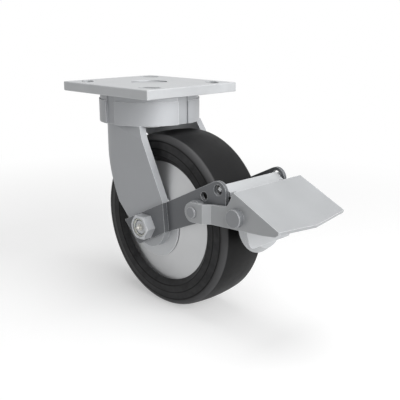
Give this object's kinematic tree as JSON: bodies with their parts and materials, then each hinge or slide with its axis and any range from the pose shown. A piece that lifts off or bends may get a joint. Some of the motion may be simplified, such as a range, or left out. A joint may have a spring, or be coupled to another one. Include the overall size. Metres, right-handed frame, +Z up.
{
  "type": "swivel caster with brake",
  "caption": "Plate-mounted swivel caster with a ball-bearing swivel head, bent steel fork, tyred wheel on a roller bearing and a foot pedal that presses a pad on the tread.",
  "frame": {"origin": "centre of the top plate's upper face, on the swivel axis", "axes": "+X towards the pedal, the trailing side of the fork; +Y along the wheel axle; +Z up, out of the plate's mounting face"},
  "size_m": [0.2412, 0.1024, 0.1905],
  "materials": {
    "zinc_plate": "satin",
    "zinc_swivel": "satin",
    "zinc_fork": "satin",
    "zinc_brake": "satin",
    "zinc_pedal": "satin",
    "fastener": "semi-gloss",
    "bearing_steel": "polished",
    "core_aluminium": "satin",
    "tyre_rubber": "matte",
    "pad_rubber": "matte"
  },
  "bodies": {
    "plate": {"top_plate": "zinc_plate", "kingpin": "fastener", "kingpin_nut": "fastener", "lower_race": "bearing_steel"},
    "ball_rows": {"upper_balls": "bearing_steel", "lower_balls": "bearing_steel"},
    "fork_body": {"swivel_ring": "zinc_swivel", "fork": "zinc_fork", "axle_bolt": "fastener", "axle_nut": "fastener", "grease_fitting": "fastener", "axle_bushing": "bearing_steel", "thrust_washers": "zinc_brake", "bracket_near": "zinc_brake", "bracket_far": "zinc_brake", "pivot_rivets": "fastener", "pivot_spacers": "fastener"},
    "wheel": {"wheel_core": "core_aluminium", "tyre": "tyre_rubber"},
    "roller_set": {"rollers": "bearing_steel", "roller_cage": "zinc_brake"},
    "pedal_body": {"pedal": "zinc_pedal", "cross_pin": "fastener"},
    "shoe": {"shoe_plate": "zinc_pedal", "pad_cup": "zinc_pedal", "brake_pad": "pad_rubber", "pad_rivet": "fastener"}
  },
  "joints": [
    {"name": "swivel", "type": "hinge", "parent": "plate", "child": "fork_body", "pos_m": [0, 0, -0.02], "axis": [0, 0, 1], "continuous": true},
    {"name": "ball_travel", "type": "hinge", "parent": "plate", "child": "ball_rows", "pos_m": [0, 0, -0.02], "axis": [0, 0, 1], "continuous": true},
    {"name": "wheel_spin", "type": "hinge", "parent": "fork_body", "child": "wheel", "pos_m": [0.0406, 0, -0.1143], "axis": [0, 1, 0], "continuous": true},
    {"name": "roller_travel", "type": "hinge", "parent": "fork_body", "child": "roller_set", "pos_m": [0.0406, 0, -0.1143], "axis": [0, 1, 0], "continuous": true},
    {"name": "pedal_pivot", "type": "hinge", "parent": "fork_body", "child": "pedal_body", "pos_m": [0.0986, 0, -0.0902], "axis": [0, 1, 0], "range_deg": [0, 23.5]},
    {"name": "shoe_swing", "type": "hinge", "parent": "fork_body", "child": "shoe", "pos_m": [0.1186, 0, -0.0704], "axis": [0, 1, 0], "range_deg": [0, 8.5]}
  ],
  "couplings": [
    {"joint": "ball_travel", "follows": "swivel", "ratio": 0.5},
    {"joint": "roller_travel", "follows": "wheel_spin", "ratio": 0.6275},
    {"joint": "shoe_swing", "follows": "pedal_pivot", "ratio": 0.36}
  ]
}
